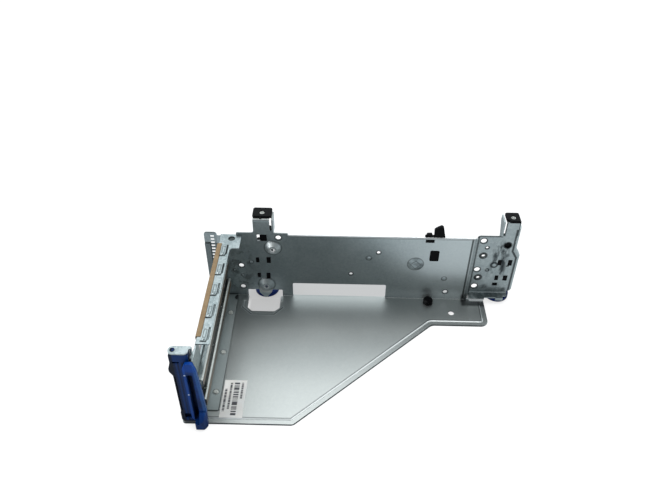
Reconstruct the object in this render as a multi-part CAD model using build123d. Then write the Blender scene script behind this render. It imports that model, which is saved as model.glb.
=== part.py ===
# Riser cage bracket: folded steel cage with a three slot panel, two half turn locks and a slot latch.
# Millimetres. X runs along the back wall, Y goes away from the viewer, Z is up from the base plate.
import os
from math import atan2, degrees, hypot, radians, sin, tan

from build123d import *

os.makedirs("parts", exist_ok=True)

# Driving sizes: the plate's reach to the right and to the front of the corner under the wall
LENGTH = 214.3
DEPTH = 128.7

# Sheet metal
T = 1.0
FOLD_IN = 0.8
FOLD_THIN = 0.9
RIM_STEP = 0.5
RIM_WIDTH = 3.6
RIM_SLOPE = 1.2
RIM_EDGE = 0.3

# Base plate
PLATE_FRONT = -DEPTH
PLATE_LEFT = -2.6
PLATE_NARROW = -30.2
PLATE_RIGHT = LENGTH
PLATE_CORNER = 61.0
PLATE_NECK = LENGTH - 46.5
PLATE_HOLE = (LENGTH - 29.1, -16.6)
PLATE_HOLE_R = 2.5

# Lug of the plate below the slot latch
LUG_LEFT = -16.8
LUG_BACK = PLATE_FRONT + 9.8

# Back wall
WALL_LEFT = -15.7
WALL_RIGHT = LENGTH - 16.3
WALL_TOP = 66.0
WALL_HIGH = 67.6
WALL_HIGH_LEFT = 9.8
WALL_HIGH_RIGHT = 50.5
WALL_FLANGE = 4.4

# Ladder strip left of the slot panel
LADDER_RIGHT = -5.6
LADDER_TOP = 67.2
LADDER_FIRST = 63.3
LADDER_PITCH = 3.17
LADDER_COUNT = 18
LADDER_X = -9.3
LADDER_SLOT = (3.0, 1.9)
HEM_RIGHT = -11.3
HEM_TOP = 56.6

# Windows
BAY_WINDOW = (53.0, 131.0, 14.5)
LOCK_WINDOW = (15.2, 44.2, 6.5)
LOCK_CUT_LEFT = 15.8
LOCK_CUT_RIGHT = 42.6
LOCK_CUT_FRONT = -18.6
LOCK_CUT_CHAMFER = 4.0
DISH_WIDTH = 3.8
DISH_SLOPE = 0.9
DISH_BACK = -7.0
DISH_SHORT = 1.4

# Left leg
LEG_LEFT = 23.5
LEG_RIGHT = 36.4
LEG_SLIT = 1.6
LEG_SIDE = LEG_RIGHT + LEG_SLIT
LEG_SIDE_T = 1.2
FOOT_TOP = 80.5
FOOT_BACK = 13.5
FOOT_FOLD = 2.0

# Slot panel
SLOT_PITCH = 20.32
PANEL_OUT = -2.6
PANEL_FRONT = PLATE_FRONT + 1.5
PANEL_TOP = 65.0
FLANGE_RIGHT = 7.0
FLANGE_FRONT = PLATE_FRONT + 15.7
CORNER_RIGHT = 14.1
CORNER_FRONT = -15.9
BASE_FLANGE_RIGHT = 7.8
BASE_FLANGE_FRONT = PLATE_FRONT + 10.2
SHELF_Z = (PANEL_TOP - 2 * SLOT_PITCH - 0.36, PANEL_TOP - SLOT_PITCH - 0.38)
SHELF_RIGHT = 2.6
SHELF_LIP = 6.6
SHELF_FRONT = PLATE_FRONT + 2.3
CORNER_GAP = FOLD_IN + 0.1
SHELF_BACK = -6.0
SLOT_OPEN = (2.6, 12.1)
SLOT_BACK = -12.0
SLOT_FRONT = PLATE_FRONT + 20.7
FINGER_TIP = -24.6
FINGER_COUNT = 5
FINGER_PITCH = (DEPTH - 42.5) / (FINGER_COUNT - 1)
FINGER_LENGTH = 12.4
FINGER_CUT = 1.0
FINGER_X = (0.4, 5.1)
TAB_HOLE = (6.9, -4.3, 2.1)
RIVET_X = 3.1
RIVET_R = 1.4
RIVET_HEAD = (2.2, 1.5, 0.7)
RIVET_Y = (-22.4, -65.0, PLATE_FRONT + 25.9)
SHELF_FINGER_PITCH = (DEPTH - 49.9) / 2
SHELF_FINGERS = tuple(-38.6 - k * SHELF_FINGER_PITCH for k in range(3))
SHELF_CUT = 0.6
SHELF_LEG = 1.3

# Gasket strip on the top flange
GASKET = (-3.5, 0.3, PLATE_FRONT + 22.0, -10.6)
GASKET_UP = 0.4
GASKET_DOWN = 3.4

# Half turn locks
LOCK_Y = 7.5
LOCK_LEFT_X = 30.5
LOCK_RIGHT_X = LENGTH + 11.7
KNOB_R = 10.0
KNOB_BOTTOM = 0.2
KNOB_TOP = 3.8
SHAFT_R = 2.1
SHAFT_BOTTOM = 1.0
GUIDE_BOTTOM = 12.0
RUN = 0.08
PLAY = 0.15
SHAFT_HOLE_R = SHAFT_R + RUN + 0.3
GUIDE_DEEP = 4.2
GUIDE_TOPS = (66.4, 63.0)
GUIDE_HALVES = (6.8, 6.2)
CAP_FRONT = 2.5
CAP_BACK = 14.0
CAP_T = 1.9
CAP_TOP = FOOT_TOP + CAP_T
SHAFT_SHY = 0.4
SHAFT_TOP = CAP_TOP - SHAFT_SHY

# End bracket
END_Y = 3.2
END_LEFT = LENGTH - 12.9
END_TOP = 66.4
END_FOLD_UP = LENGTH + 14.9
END_FOLD_LOW = LENGTH + 18.9
END_FOLD_R = 4.8
END_FLANGE_BACK = 12.5
END_SHELF = 5.7
END_SHELF_FRONT = -3.0
END_SHELF_NECK = -0.8
END_TAB_FRONT = -5.2
END_TAB_RIGHT = LENGTH - 0.8
END_LIP = 2.8
END_LEG_LEFT = LENGTH + 6.6
END_LEG_RIGHT = LENGTH + 17.3
END_LEG_BASE = 73.6
END_SLIT = 1.2
END_SIDE = END_LEG_LEFT - END_SLIT - LEG_SIDE_T
JOG_TOP = 51.0
JOG_LOW = 44.5
END_LIP_X = (LENGTH + 9.0, LENGTH + 15.1)
LAP_LEFT = LENGTH - 28.3

# Slot latch
PIN = (-14.4, PLATE_FRONT + 5.0)
PIN_R = 1.6
LATCH_LUG_TOP = 71.0
LATCH_GAP = 0.4
DOOR_LEFT = -16.8
DOOR_RIGHT = -4.3
DOOR_BACK = PLATE_FRONT + 8.0
DOOR_FRONT = PLATE_FRONT + 1.7
RAIL_FRONT = PLATE_FRONT - 1.7
RAIL_BACK = PLATE_FRONT + 1.0
RIB_LEFT = -8.4
TAB_FRONT = PLATE_FRONT - 6.3
TAB_LEFT = -6.0
TAB_RIGHT = 2.0
LUG_FRONT = PLATE_FRONT + 1.6
LUG_REAR = PLATE_FRONT + 8.3
LUG_RIGHT = -4.2
LUG_NECK = PLATE_FRONT + 6.1
STRAP_FRONT = PLATE_FRONT + 2.7
STRAP_BACK = PLATE_FRONT + 17.7
DOOR_BULGE = 1.6
GROOVE = (-6.5, -2.6, 6.0, 54.0, 2.6)
POCKETS = ((-15.2, -10.6, 61.6, 63.0, 1.6), (-14.2, -9.2, 3.2, 8.2, 2.0), (-15.6, -14.8, 12.0, 48.0, 0.8))

# Cable clip and peg
CLIP_LEFT = LENGTH - 55.7
CLIP_RIGHT = CLIP_LEFT + 13.8
CLIP_SLOT = (CLIP_LEFT + 0.5, CLIP_LEFT + 7.5, 61.4, 64.3)
CLIP_WINDOW = (CLIP_LEFT + 5.3, CLIP_LEFT + 12.8, 42.3, 52.9)
CLIP_NOTCH = (CLIP_LEFT - 1.0, CLIP_LEFT + 17.0)
CLIP_BOTTOM = 40.0
CLIP_T = 2.4
PEG = (LENGTH - 47.5, -5.0)
PEG_R = 4.0
PEG_H = 4.2

# Label
LABEL = (8.3, 24.8, PLATE_FRONT + 4.5, PLATE_FRONT + 37.7)
LABEL_T = 0.12

# Whole part, used to bring the middle of its bounds to the origin
PART_LEFT = DOOR_LEFT - DOOR_BULGE
PART_RIGHT = END_FOLD_LOW + END_FOLD_R
PART_FRONT = TAB_FRONT
PART_BACK = LOCK_Y + KNOB_R
PART_BOTTOM = -T - RIM_STEP
SHIFT = (-(PART_LEFT + PART_RIGHT) / 2, -(PART_FRONT + PART_BACK) / 2, -PART_BOTTOM)


def outline(points):
    """Closed wire through points (a, b) or (a, b, radius)."""
    n = len(points)
    ends = []
    for i in range(n):
        a, b = points[i][0], points[i][1]
        r = points[i][2] if len(points[i]) > 2 else 0.0
        pa, pb = points[i - 1][0] - a, points[i - 1][1] - b
        na, nb = points[(i + 1) % n][0] - a, points[(i + 1) % n][1] - b
        lp, ln = hypot(pa, pb), hypot(na, nb)
        if r <= 0:
            ends.append(((a, b), None, (a, b)))
            continue
        pa, pb, na, nb = pa / lp, pb / lp, na / ln, nb / ln
        half = 0.5 * abs(atan2(pa * nb - pb * na, pa * na + pb * nb))
        cut = r / tan(half)
        ma, mb = pa + na, pb + nb
        lm = hypot(ma, mb)
        deep = r / sin(half) - r
        mid = (a + ma / lm * deep, b + mb / lm * deep)
        ends.append(((a + pa * cut, b + pb * cut), mid, (a + na * cut, b + nb * cut)))
    edges = []
    for i in range(n):
        start, mid, stop = ends[i]
        if mid is not None:
            edges.append(Edge.make_three_point_arc(start, mid, stop))
        after = ends[(i + 1) % n][0]
        if hypot(after[0] - stop[0], after[1] - stop[1]) > 1e-6:
            edges.append(Edge.make_line(stop, after))
    return Face(Wire(edges))


def flat(points, z0, z1):
    """Prism over an XY outline."""
    return extrude(Plane.XY.offset(z0) * outline(points), z1 - z0, dir=(0, 0, 1))


def upright(points, y0, y1):
    """Prism over an XZ outline, from y0 to y1."""
    plane = Plane(origin=(0, y1, 0), x_dir=(1, 0, 0), z_dir=(0, -1, 0))
    return extrude(plane * outline(points), y1 - y0, dir=(0, -1, 0))


def sideways(points, x0, x1):
    """Prism over a YZ outline, from x0 to x1."""
    plane = Plane(origin=(x0, 0, 0), x_dir=(0, 1, 0), z_dir=(1, 0, 0))
    return extrude(plane * outline(points), x1 - x0, dir=(1, 0, 0))


def block(x0, x1, y0, y1, z0, z1):
    size = Box(x1 - x0, y1 - y0, z1 - z0)
    return Pos((x0 + x1) / 2, (y0 + y1) / 2, (z0 + z1) / 2) * size


def rod_z(x, y, r, z0, z1):
    return Pos(x, y, (z0 + z1) / 2) * Cylinder(r, z1 - z0)


def rod_y(x, z, r, y0, y1):
    return Pos(x, (y0 + y1) / 2, z) * (Rot(90, 0, 0) * Cylinder(r, y1 - y0))


def cone_y(x, z, r_front, r_back, y0, y1):
    """Cone along Y: r_front at y0 (towards the viewer), r_back at y1."""
    return Pos(x, (y0 + y1) / 2, z) * (Rot(90, 0, 0) * Cone(r_back, r_front, y1 - y0))


def pick(shape, test):
    """Edges whose middle passes the test."""
    found = []
    for e in shape.edges():
        p = e.position_at(0.5)
        if test(p.X, p.Y, p.Z, e):
            found.append(e)
    return found


def near(a, b, tol=0.02):
    return abs(a - b) < tol


def inset(p0, p1, p2, d):
    """Corner p1 moved inwards by d from both of its edges."""
    ax, ay = p1[0] - p0[0], p1[1] - p0[1]
    bx, by = p2[0] - p1[0], p2[1] - p1[1]
    la, lb = hypot(ax, ay), hypot(bx, by)
    na = (-ay / la, ax / la)
    nb = (-by / lb, bx / lb)
    k = d / (1 + na[0] * nb[0] + na[1] * nb[1])
    return (p1[0] + k * (na[0] + nb[0]), p1[1] + k * (na[1] + nb[1]))


# Cage shell: plate with a stepped rim
corner = (PLATE_CORNER, PLATE_FRONT)
neck = (PLATE_NECK, PLATE_NARROW)
end = (PLATE_RIGHT, PLATE_NARROW)
start = (PLATE_LEFT, PLATE_FRONT)
finish = (PLATE_RIGHT, T)
full = [
    (LUG_LEFT, PLATE_FRONT, 2.5), (*corner, 5.0), (*neck, 7.0), (*end, 6.5), finish,
    (PLATE_LEFT, T), (PLATE_LEFT, LUG_BACK), (LUG_LEFT, LUG_BACK, 2.5),
]
in_corner = inset(start, corner, neck, RIM_WIDTH)
in_neck = inset(corner, neck, end, RIM_WIDTH)
in_end = inset(neck, end, finish, RIM_WIDTH)
panel_floor = [
    (PLATE_LEFT, PLATE_FRONT + RIM_WIDTH), (*in_corner, 3.0), (*in_neck, 8.0),
    (*in_end, 3.5), (PLATE_RIGHT - RIM_WIDTH, T), (PLATE_LEFT, T),
]
floor = flat(panel_floor, -T, 0)
crease = pick(floor, lambda x, y, z, e: near(z, 0) and y < -1 and x > PLATE_LEFT + 0.1)
floor = chamfer(crease, RIM_STEP - 0.02, RIM_SLOPE)
rim = flat(full, -T - RIM_STEP, -RIM_STEP)
rim = chamfer(pick(rim, lambda x, y, z, e: near(z, -RIM_STEP) and y < -1), RIM_EDGE)
rim = rim - flat(panel_floor, -T - 1, 1)
rim = rim - block(PLATE_LEFT - 1, PLATE_RIGHT + 1, 0, T + 1, -3, 1)
plate = floor + rim + block(PLATE_RIGHT - RIM_WIDTH - 0.5, PLATE_RIGHT, -0.6, T, -T, -RIM_STEP)

# Cage shell: back wall, ladder strip and left leg in one outline
wall = upright([
    (WALL_LEFT, 1.2, 1.5), (WALL_LEFT, LADDER_TOP, 2.4), (LADDER_RIGHT, LADDER_TOP, 2.4),
    (LADDER_RIGHT, PANEL_TOP - T), (WALL_HIGH_LEFT, PANEL_TOP - T), (WALL_HIGH_LEFT, WALL_HIGH, 0.8),
    (LEG_LEFT, WALL_HIGH, 2.0), (LEG_LEFT, FOOT_TOP), (LEG_RIGHT, FOOT_TOP),
    (LEG_RIGHT, 70.4), ((LEG_RIGHT + LEG_SIDE) / 2, 69.2), (LEG_SIDE, 70.4), (LEG_SIDE, FOOT_TOP),
    (LEG_SIDE + LEG_SIDE_T, FOOT_TOP), (LEG_SIDE + LEG_SIDE_T, WALL_HIGH, 1.4),
    (WALL_HIGH_RIGHT, WALL_HIGH, 0.5), (WALL_HIGH_RIGHT, WALL_TOP), (WALL_RIGHT, WALL_TOP),
    (WALL_RIGHT, -T), (PLATE_LEFT, -T), (PLATE_LEFT, 1.2),
], 0, T)
shell = plate + wall
fold = pick(shell, lambda x, y, z, e: near(y, 0) and near(z, 0) and e.length > 60)
shell = fillet(fold, FOLD_IN)
fold = pick(shell, lambda x, y, z, e: near(y, T) and near(z, -T) and e.length > 60)
shell = fillet(fold, FOLD_THIN)
top = block(WALL_HIGH_RIGHT, WALL_RIGHT - 0.1, 0, WALL_FLANGE, WALL_TOP - T, WALL_TOP)
shell = shell + top
fold = pick(shell, lambda x, y, z, e: near(y, 0) and near(z, WALL_TOP) and x > 60 and e.length > 40)
shell = fillet(fold, FOLD_THIN)
foot = block(LEG_LEFT, LEG_RIGHT, 0, FOOT_BACK, FOOT_TOP - T, FOOT_TOP)
side = block(LEG_SIDE, LEG_SIDE + LEG_SIDE_T, 0, FOOT_BACK - 2.5, PANEL_TOP, FOOT_TOP)
shell = shell + foot + side
fold = pick(shell, lambda x, y, z, e: near(y, T) and near(z, FOOT_TOP - T) and x < LEG_RIGHT and e.length > 8)
shell = fillet(fold, FOOT_FOLD - T)
fold = pick(shell, lambda x, y, z, e: near(y, 0) and near(z, FOOT_TOP) and x < LEG_RIGHT and e.length > 8)
shell = fillet(fold, FOOT_FOLD)
shell = shell + block(WALL_LEFT, HEM_RIGHT, -T, 0, 1.8, HEM_TOP)

# Cage shell: windows in the wall and the plate
x0, x1, z1 = BAY_WINDOW
bay = upright([(x0, 0, 0.6), (x1, 0, 0.6), (x1, z1, 1.2), (x0, z1, 1.2)], -2, T + 1)
x0, x1, z1 = LOCK_WINDOW
lock_wall = upright([(x0, -3), (x1, -3), (x1, z1, 0.8), (x0, z1, 0.8)], -1.2, T + 1)
c = LOCK_CUT_CHAMFER
lock_cut = [
    (LOCK_CUT_LEFT, T + 1), (LOCK_CUT_LEFT, LOCK_CUT_FRONT + c), (LOCK_CUT_LEFT + c, LOCK_CUT_FRONT),
    (LOCK_CUT_RIGHT - c, LOCK_CUT_FRONT), (LOCK_CUT_RIGHT, LOCK_CUT_FRONT + c), (LOCK_CUT_RIGHT, T + 1),
]
d = DISH_WIDTH
dish = [
    (LOCK_CUT_LEFT - d, DISH_BACK), (LOCK_CUT_LEFT - d, LOCK_CUT_FRONT + c),
    (LOCK_CUT_LEFT + c, LOCK_CUT_FRONT - d, 2.0), (LOCK_CUT_RIGHT - c, LOCK_CUT_FRONT - d, 2.0),
    (LOCK_CUT_RIGHT + d - DISH_SHORT, LOCK_CUT_FRONT + c), (LOCK_CUT_RIGHT + d - DISH_SHORT, DISH_BACK),
]
sunk = extrude(Plane.XY * outline(dish), RIM_STEP, dir=(0, 0, -1), taper=degrees(atan2(DISH_SLOPE, RIM_STEP)))
shell = shell - sunk + Pos(0, 0, -T) * sunk
shell = shell - flat(lock_cut, -3, 1) - lock_wall - bay

# Cage shell: conical bosses, the lower one on a tongue that stands in front of the knob
BOSS_H = 3.4
TONGUE_Y = -BOSS_H
BOSSES = ((38.2, 52.8, 7.0), (31.3, 13.0, 7.2))
web = sideways([
    (T, 10.5), (0, 10.5), (TONGUE_Y - T, 7.6), (TONGUE_Y - T, 1.0), (TONGUE_Y, 1.0), (TONGUE_Y, 6.6),
    (0, 8.4), (T, 8.4),
], 20, 42)
taper = upright([(24.6, 11), (37.4, 11), (35.4, 7.4), (32.4, 3.2), (31.8, 2.0), (29.2, 2.0), (28.6, 3.2),
                 (25.6, 7.4)], -6, T)
shell = shell + (web & taper)
for bx, bz, br in BOSSES:
    shell = shell + cone_y(bx, bz, 3.6, br, -BOSS_H, 0.001)
for bx, bz, br in BOSSES:
    shell = shell - cone_y(bx, bz, 2.6, br - 1.0, -BOSS_H + T, T + 0.001)
    shell = shell - rod_y(bx, bz, 1.5, -6, 3)

# Cage shell: holes, emboss and hook slots
WALL_HOLES = ((11.6, 33.2, 2.1), (11.3, 9.7, 2.1), (42.9, 63.2, 2.2), (122.8, 49.9, 1.5),
              (101.3, 26.4, 1.4), (LENGTH - 33.3, 8.1, 1.9))
LEFT_HOOKS = ((25.2, 39.6, 2.8, 5.0), (34.2, 39.6, 3.4, 6.0), (25.6, 22.8, 2.8, 4.8),
              (33.2, 22.4, 3.4, 6.0))
LEG_SLOT = (25.9, 33.8, 59.8, 66.0)
LEG_SLOT_OPEN = 2.9
for hx, hz, hr in WALL_HOLES:
    shell = shell - rod_y(hx, hz, hr, -2, 3)
EMBOSS = (LENGTH - 61.0, 38.6, 6.6, 4.0)
EMBOSS_H = 1.0
EMBOSS_THIN = 0.8
ex, ez, base_r, top_r = EMBOSS
shell = shell + cone_y(ex, ez, top_r, base_r, -EMBOSS_H, 0.001)
shell = shell - cone_y(ex, ez, top_r - EMBOSS_THIN, base_r - EMBOSS_THIN, T - EMBOSS_H, T + 0.001)
for sx, sz, sw, sh in LEFT_HOOKS:
    shell = shell - block(sx - sw / 2, sx + sw / 2, -2, 3, sz - sh / 2, sz + sh / 2)
shell = shell - block(LEG_SLOT[0], LEG_SLOT[1], -2, 3, LEG_SLOT[2], LEG_SLOT[3])
for k in range(LADDER_COUNT):
    lz = LADDER_FIRST - k * LADDER_PITCH
    sw, sh = LADDER_SLOT
    shell = shell - block(LADDER_X - sw / 2, LADDER_X + sw / 2, -2, 3, lz - sh / 2, lz + sh / 2)
TAIL_CUTS = ((-2.5, -0.4, 28.6, 31.4), (-2.5, -0.4, 7.0, 17.0))
for tx0, tx1, tz0, tz1 in TAIL_CUTS:
    shell = shell - block(tx0, tx1, -1, 3, tz0, tz1)

# Cage shell: clip openings, plate hole, rivet holes, latch pin hole, shaft hole
x0, x1, z0, z1 = CLIP_SLOT
shell = shell - block(x0, x1, -2, T + 0.01, z0, z1)
x0, x1, z0, z1 = CLIP_WINDOW
shell = shell - upright([(x0, z0, 1.0), (x1, z0, 1.0), (x1, z1, 1.0), (x0, z1, 1.0)], -2, T + 0.01)
shell = shell - block(CLIP_NOTCH[0], CLIP_NOTCH[1], T, 9, WALL_TOP - T - 1, WALL_TOP + 1)
shell = shell - rod_z(PLATE_HOLE[0], PLATE_HOLE[1], PLATE_HOLE_R, -3, 1)
for ry in RIVET_Y:
    shell = shell - rod_z(RIVET_X, ry, RIVET_R, -3, 1)
shell = shell - rod_z(PIN[0], PIN[1], PIN_R + RUN, -3, 1)
shell = shell - rod_z(LOCK_LEFT_X, LOCK_Y, SHAFT_HOLE_R, FOOT_TOP - 3, FOOT_TOP + 1)

# Slot panel: face, flanges and shelves
face = block(PANEL_OUT, PANEL_OUT + T, PANEL_FRONT, 0, 0, PANEL_TOP - T)
face = face - block(PANEL_OUT - 1, 0, -CORNER_GAP, 1, -1, CORNER_GAP)
base = flat([(PANEL_OUT, 0), (PANEL_OUT, BASE_FLANGE_FRONT), (BASE_FLANGE_RIGHT, BASE_FLANGE_FRONT, 1.2),
             (BASE_FLANGE_RIGHT - 1.4, -CORNER_GAP)], 0, T)
base = base - block(PANEL_OUT - 1, CORNER_RIGHT, -CORNER_GAP, 2, -1, 2)
top = flat([(PANEL_OUT, T), (PANEL_OUT, FLANGE_FRONT), (FLANGE_RIGHT, FLANGE_FRONT, 0.6),
            (FLANGE_RIGHT, CORNER_FRONT, 2.6), (CORNER_RIGHT, CORNER_FRONT, 0.8), (CORNER_RIGHT, 0),
            (WALL_HIGH_LEFT - 0.3, 0), (WALL_HIGH_LEFT - 0.3, T)], PANEL_TOP - T, PANEL_TOP)
panel = face + base + top
for sz in SHELF_Z:
    panel = panel + block(PANEL_OUT + T, SHELF_RIGHT, SHELF_FRONT, SHELF_BACK, sz - T, sz)
    panel = panel + block(SHELF_RIGHT - T, SHELF_RIGHT, SHELF_FRONT, SHELF_BACK, sz - SHELF_LIP, sz)
fold = pick(panel, lambda x, y, z, e: near(x, PANEL_OUT) and near(z, PANEL_TOP) and e.length > 60)
panel = fillet(fold, FOLD_THIN)
fold = pick(panel, lambda x, y, z, e: near(x, PANEL_OUT) and near(z, 0) and e.length > 60)
panel = fillet(fold, FOLD_THIN)
for sz in SHELF_Z:
    fold = pick(panel, lambda x, y, z, e: near(x, SHELF_RIGHT) and near(z, sz) and e.length > 60)
    panel = fillet(fold, 0.8)

# Slot panel: three slot openings, one pitch apart
LEVELS = (SHELF_Z[0] - SLOT_PITCH, SHELF_Z[0], SHELF_Z[1])
for lz in LEVELS:
    z0 = lz + SLOT_OPEN[0]
    z1 = z0 + SLOT_OPEN[1]
    panel = panel - block(PANEL_OUT - 1, PANEL_OUT + T + 0.01, SLOT_FRONT, SLOT_BACK, z0, z1)
for tx0, tx1, tz0, tz1 in TAIL_CUTS:
    panel = panel - block(PANEL_OUT - 1, PANEL_OUT + T + 1, -2.6, 1, tz0, tz1)

# Slot panel: spring fingers cut free on the right and at the tip
for k in range(FINGER_COUNT):
    tip = FINGER_TIP - k * FINGER_PITCH
    w = FINGER_CUT / 2
    xl, xr = FINGER_X
    hook = [(xl, tip - w), (xl, tip + w), (xr - 2.0, tip + w), (xr - w, tip + 2.2),
            (xr - w, tip + FINGER_LENGTH), (xr + w, tip + FINGER_LENGTH),
            (xr + w, tip + 1.6), (xr - 1.6, tip - w)]
    panel = panel - flat(hook, PANEL_TOP - T - 1, PANEL_TOP + 1)
near_x, far_x = SHELF_CUT / 2, SHELF_RIGHT - T - 0.02
for ft in SHELF_FINGERS:
    near_y, far_y = ft - SHELF_CUT / 2, ft + SHELF_CUT / 2
    finger_cut = [(-near_x, near_y), (far_x, near_y), (far_x, far_y), (near_x, far_y),
                  (near_x, far_y + SHELF_LEG), (-near_x, far_y + SHELF_LEG)]
    panel = panel - flat(finger_cut, SHELF_Z[0] - T - 1, SHELF_Z[0] + 1)
hx, hy, hr = TAB_HOLE
panel = panel - rod_z(hx, hy, hr, PANEL_TOP - 3, PANEL_TOP + 1)
for ry in RIVET_Y:
    panel = panel - rod_z(RIVET_X, ry, RIVET_R, -1, 3)

# Rivets that hold the slot panel on the plate
rivets = []
low_r, high_r, head_h = RIVET_HEAD
for ry in RIVET_Y:
    head = Pos(RIVET_X, ry, T + head_h / 2) * Cone(low_r, high_r, head_h)
    rivets.append(head + rod_z(RIVET_X, ry, RIVET_R, -T, T))

# Gasket strip wrapped round the outer edge of the top flange
gx0, gx1, gy0, gy1 = GASKET
up = PANEL_TOP + GASKET_UP
gasket_low = PANEL_TOP - GASKET_DOWN
gasket = block(gx0, gx1, gy0, gy1, gasket_low, up)
gasket = fillet(pick(gasket, lambda x, y, z, e: near(z, up) and near(x, gx0)), 1.2)
gasket = gasket - block(PANEL_OUT, gx1 + 1, gy0 - 1, gy1 + 1, gasket_low - 1, PANEL_TOP - FOLD_THIN)
inside = block(PANEL_OUT, gx1 + 1, gy0 - 1, gy1 + 1, PANEL_TOP - 1.5, PANEL_TOP)
inside = fillet(pick(inside, lambda x, y, z, e: near(z, PANEL_TOP) and near(x, PANEL_OUT)), FOLD_THIN)
gasket = gasket - inside

# End bracket: main face, joggled lap behind the wall, folded flange, shelf over the knob
back = END_Y + T


def end_fold(xf):
    """Section of the large fold at the right border."""
    r = END_FOLD_R
    yc = END_Y + r
    q = sin(radians(45))
    edges = [
        Edge.make_three_point_arc((xf, END_Y), (xf + r * q, yc - r * q), (xf + r, yc)),
        Edge.make_line((xf + r, yc), (xf + r, END_FLANGE_BACK)),
        Edge.make_line((xf + r, END_FLANGE_BACK), (xf + r - T, END_FLANGE_BACK)),
        Edge.make_line((xf + r - T, END_FLANGE_BACK), (xf + r - T, yc)),
        Edge.make_three_point_arc((xf + r - T, yc), (xf + (r - T) * q, yc - (r - T) * q), (xf, back)),
        Edge.make_line((xf, back), (xf, END_Y)),
    ]
    return Face(Wire(edges))


end_face = upright([
    (END_LEFT - T, END_SHELF - T), (END_LEFT - T, END_TOP, 2.4), (END_LEG_LEFT, END_TOP, 0.4),
    (END_LEG_LEFT, FOOT_TOP), (END_LEG_RIGHT, FOOT_TOP), (END_LEG_RIGHT, END_LEG_BASE),
    (END_FOLD_UP, END_LEG_BASE), (END_FOLD_UP, JOG_TOP), (END_FOLD_LOW, JOG_LOW),
    (END_FOLD_LOW, END_SHELF - T),
], END_Y, back)
bracket = end_face
upper_fold = extrude(Plane.XY.offset(JOG_TOP) * end_fold(END_FOLD_UP), END_LEG_BASE - JOG_TOP, dir=(0, 0, 1))
bracket = bracket + upper_fold
slope = hypot(END_FOLD_LOW - END_FOLD_UP, JOG_TOP - JOG_LOW)
lean = (END_FOLD_UP - END_FOLD_LOW, 0, JOG_TOP - JOG_LOW)
bracket = bracket + extrude(Plane.XY.offset(JOG_LOW) * end_fold(END_FOLD_LOW), slope, dir=lean)
bracket = bracket + extrude(Plane.XY.offset(END_SHELF + 2) * end_fold(END_FOLD_LOW), JOG_LOW - END_SHELF - 2,
                            dir=(0, 0, 1))
ledge = flat([
    (END_LEFT - T, back), (END_LEFT - T, END_TAB_FRONT, 0.8), (END_TAB_RIGHT, END_TAB_FRONT, 0.8),
    (END_TAB_RIGHT, END_SHELF_FRONT), (END_LIP_X[1], END_SHELF_FRONT), (END_LIP_X[1], END_SHELF_NECK),
    (END_FOLD_LOW, END_SHELF_NECK, 1.5), (END_FOLD_LOW, back),
], END_SHELF - T, END_SHELF)
bracket = bracket + ledge
fold = pick(bracket, lambda x, y, z, e: near(y, END_Y) and near(z, END_SHELF) and e.length > 20)
bracket = fillet(fold, 1.0)
fold = pick(bracket, lambda x, y, z, e: near(y, back) and near(z, END_SHELF - T) and e.length > 20)
bracket = fillet(fold, 2.0)
lip_low = END_SHELF - END_LIP
lip = block(END_LEFT - 0.2, END_TAB_RIGHT - 0.8, END_TAB_FRONT, END_TAB_FRONT + T, lip_low, END_SHELF)
bracket = bracket + lip
small_front = END_SHELF_FRONT - 0.8
small_lip = block(END_LIP_X[0], END_LIP_X[1], small_front, small_front + T, lip_low, END_SHELF)
lap = block(LAP_LEFT, END_LEFT - T, T, 2 * T, -T, WALL_TOP - T)
riser = block(END_LEFT - T, END_LEFT, T, back, END_SHELF, WALL_TOP - T)
riser = fillet(pick(riser, lambda x, y, z, e: near(x, END_LEFT) and near(y, T) and e.length > 20), T - 0.1)
bracket = bracket + small_lip + lap + riser
bracket = bracket + sideways([(END_Y, 60), (8.0, 60), (9.0, END_TOP), (FOOT_BACK, 76), (FOOT_BACK, FOOT_TOP),
                              (END_Y, FOOT_TOP)], END_SIDE, END_SIDE + LEG_SIDE_T)
slit = upright([(END_SIDE + LEG_SIDE_T, FOOT_TOP + 1), (END_SIDE + LEG_SIDE_T, 68.2),
                ((END_SIDE + LEG_SIDE_T + END_LEG_LEFT) / 2, 67.2), (END_LEG_LEFT, 68.2),
                (END_LEG_LEFT, FOOT_TOP + 1)], END_Y - 1, END_Y + 1.001)
bridge = block(END_SIDE, END_LEG_LEFT, END_Y, back, END_TOP - 0.4, 68.2)
bracket = bracket + bridge - slit
bracket = bracket + block(END_LEG_LEFT, END_LEG_RIGHT, END_Y, FOOT_BACK, FOOT_TOP - T, FOOT_TOP)
fold = pick(bracket, lambda x, y, z, e: near(y, END_Y) and near(z, FOOT_TOP) and e.length > 6)
bracket = fillet(fold, FOLD_THIN)

# End bracket: holes and hook slots
END_HOLES = ((END_LEFT + 4.2, 61.6, 2.4), (END_LEFT + 3.4, 31.2, 2.4), (END_LEFT + 3.8, 12.6, 2.5),
             (END_LEFT + 23.9, 57.6, 2.8), (END_LEFT + 8.0, 54.7, 1.2))
for hx, hz, hr in END_HOLES:
    bracket = bracket - rod_y(hx, hz, hr, -2, back + 1)
RIGHT_HOOKS = ((LOCK_RIGHT_X - 4.0, 39.2, 3.2, 5.4), (LOCK_RIGHT_X + 4.4, 39.2, 3.4, 5.8),
               (LOCK_RIGHT_X - 3.8, 22.4, 3.0, 5.0), (LOCK_RIGHT_X + 3.3, 22.4, 3.6, 5.4))
for sx, sz, sw, sh in RIGHT_HOOKS:
    bracket = bracket - block(sx - sw / 2, sx + sw / 2, END_Y - 1, back + 0.01, sz - sh / 2, sz + sh / 2)
SMALL_SLOTS = ((LOCK_RIGHT_X + 2.9, 35.6, 2.4, 1.2), (LOCK_RIGHT_X - 4.1, 15.2, 4.4, 3.4))
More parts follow.
